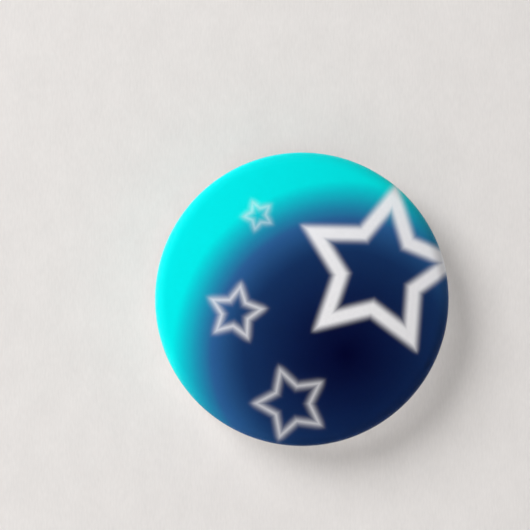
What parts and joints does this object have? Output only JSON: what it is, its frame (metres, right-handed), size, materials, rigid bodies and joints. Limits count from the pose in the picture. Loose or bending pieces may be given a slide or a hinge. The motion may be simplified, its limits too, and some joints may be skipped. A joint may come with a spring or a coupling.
{
  "type": "button badge",
  "caption": "Round domed button badge: a printed star design under clear film is turned over a metal shell and pressed on to a dished back plate with a spring pin and catch.",
  "frame": {"origin": "centre of the back rim, on the plane of the flattened bead that lies on the cloth", "axes": "+Z is the badge's top as worn, the printed dome faces -Y, and +Y points out of the back rim towards the wearer"},
  "size_m": [0.0572, 0.0086, 0.0572],
  "materials": {
    "polyester_film": "clear gloss polyester film",
    "printed_paper": "white paper printed with a dark-to-cyan gradient and four outlined stars",
    "shell_tinplate": "plain rolled tinplate",
    "back_tinplate": "bright rolled tinplate, stamped",
    "plated_wire": "bright nickel-plated spring wire"
  },
  "bodies": {
    "badge": {"clear_film": "polyester_film", "printed_disc": "printed_paper", "front_shell": "shell_tinplate", "back_plate": "back_tinplate", "pin_spring": "plated_wire"},
    "needle": {"pin_needle": "plated_wire"}
  },
  "joints": [
    {"name": "pin_opening", "type": "hinge", "parent": "badge", "child": "needle", "pos_m": [-0.0135, -0.00235, 0.009], "axis": [-0.9112, -0.4107, 0.0324], "range_deg": [0, 150]}
  ]
}
